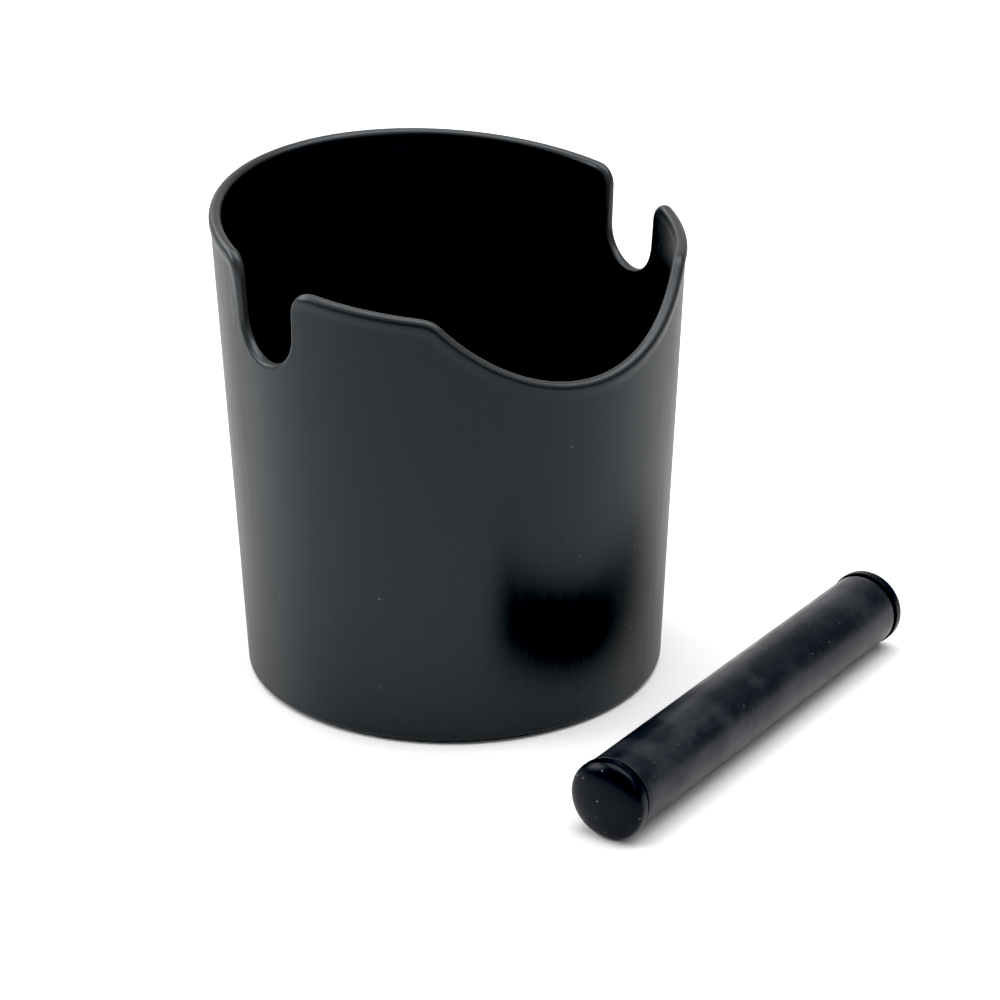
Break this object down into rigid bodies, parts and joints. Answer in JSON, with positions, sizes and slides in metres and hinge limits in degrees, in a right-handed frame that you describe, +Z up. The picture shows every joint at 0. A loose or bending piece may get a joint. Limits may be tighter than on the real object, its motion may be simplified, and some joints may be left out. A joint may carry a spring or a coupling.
{
  "type": "espresso knock box",
  "caption": "Round tapered bin for used coffee grounds with a slanted beaded rim, open slots for a rubber covered knock bar and a scooped front dip; the bar lies beside it.",
  "frame": {"origin": "middle of the base pad's underside, on the surface that the bin stands on", "axes": "+Z up, X from slot to slot, -Y towards the dip in the front of the rim"},
  "size_m": [0.1796, 0.2021, 0.1488],
  "materials": {
    "bin_plastic": "fine satin moulded black",
    "pad_rubber": "matte black, ring grooves underneath",
    "core_steel": "drawn tube",
    "sleeve_rubber": "matte black with a faint bloom and dust",
    "cap_plastic": "satin moulded black"
  },
  "bodies": {
    "bin": {"bin": "bin_plastic", "base_pad": "pad_rubber"},
    "knock_bar": {"bar_core": "core_steel", "bar_sleeve": "sleeve_rubber", "end_cap_left": "cap_plastic", "end_cap_right": "cap_plastic"}
  },
  "joints": [
    {"name": "bar_lift", "type": "slide", "parent": "bin", "child": "knock_bar", "axis": [0, 0, 1], "range_m": [0, 0.16]}
  ]
}
